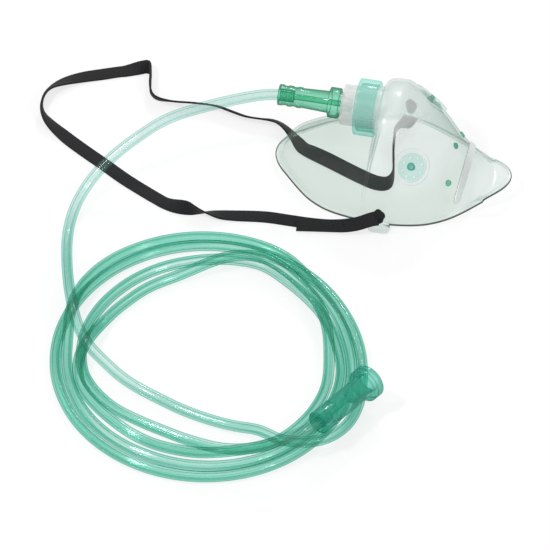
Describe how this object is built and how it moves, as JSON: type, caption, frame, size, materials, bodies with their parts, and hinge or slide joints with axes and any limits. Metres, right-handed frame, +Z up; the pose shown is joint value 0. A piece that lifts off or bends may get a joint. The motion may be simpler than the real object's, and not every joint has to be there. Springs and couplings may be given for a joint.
{
  "type": "oxygen face mask",
  "caption": "Clear soft oxygen face mask with a round port, green push-fit connectors, a coiled supply tube and a black head strap.",
  "frame": {"origin": "middle of the mask's rim, on the surface that the mask lies on", "axes": "+X from the chin towards the nose, +Z up, from the rim towards the port"},
  "size_m": [0.2618, 0.2992, 0.0623],
  "materials": {
    "clear_vinyl": "clear soft vinyl",
    "clip_aluminium": "soft rolled strip",
    "collar_green": "tinted moulding",
    "neck_clear": "clear moulding",
    "connector_green": "tinted moulding",
    "tube_green": "clear tinted vinyl",
    "strap_black": "flat woven elastic"
  },
  "bodies": {
    "root": {"mask_shell": "clear_vinyl", "nose_clip": "clip_aluminium", "port_collar": "collar_green", "port_neck": "neck_clear", "mask_connector": "connector_green", "supply_connector": "connector_green", "oxygen_tube_lead": "tube_green", "tube_coil": "tube_green", "oxygen_tube_tail": "tube_green", "head_strap": "strap_black", "strap_knot_near": "strap_black", "strap_knot_far": "strap_black"}
  },
  "joints": []
}
